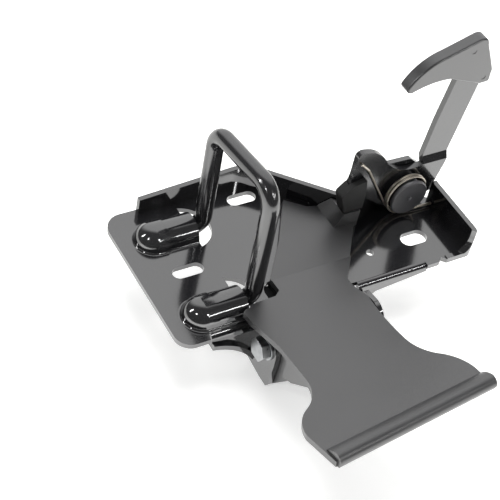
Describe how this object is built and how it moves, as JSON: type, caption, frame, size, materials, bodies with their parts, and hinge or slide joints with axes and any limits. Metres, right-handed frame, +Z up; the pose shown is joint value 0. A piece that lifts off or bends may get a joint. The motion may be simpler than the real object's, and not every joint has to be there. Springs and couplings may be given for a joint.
{
  "type": "hood striker plate with safety catch",
  "caption": "Black pressed-steel hood striker plate with a welded bail, a sprung safety hook and a hinged release paddle.",
  "frame": {"origin": "on the mounting face, the plate's underside, midway between the two legs of the bail", "axes": "+X along the plate towards the catch, +Y to the back flange, away from the paddle, +Z up out of the plate's top, along the bail"},
  "size_m": [0.1665, 0.1684, 0.1215],
  "materials": {
    "coated_steel": "gloss",
    "paddle_plastic": "satin",
    "cap_plastic": "satin",
    "pad_rubber": "matte",
    "spring_steel": "drawn wire",
    "zinc_steel": "zinc plated"
  },
  "bodies": {
    "base": {"base_plate": "coated_steel", "striker_bail": "coated_steel", "pivot_pin": "coated_steel", "spring_spool": "cap_plastic", "catch_spring": "spring_steel", "hinge_bolt": "zinc_steel", "head_washer": "zinc_steel", "hinge_nut": "coated_steel"},
    "catch": {"catch_lever": "coated_steel", "hook_cap": "cap_plastic", "tail_pad": "pad_rubber"},
    "paddle": {"release_paddle": "paddle_plastic"}
  },
  "joints": [
    {"name": "paddle_hinge", "type": "hinge", "parent": "base", "child": "paddle", "pos_m": [0.0225, -0.0461, -0.0041], "axis": [1, 0, 0], "range_deg": [0, 8]},
    {"name": "catch_pivot", "type": "hinge", "parent": "base", "child": "catch", "pos_m": [0.0933, 0.0033, 0.0146], "axis": [0, 1, 0], "range_deg": [0, 17.5], "stiffness_Nm_per_rad": 0.8, "springref_deg": -20.05, "deforming": ["catch_spring"]}
  ],
  "couplings": [
    {"joint": "catch_pivot", "follows": "paddle_hinge", "ratio": 2.15}
  ]
}
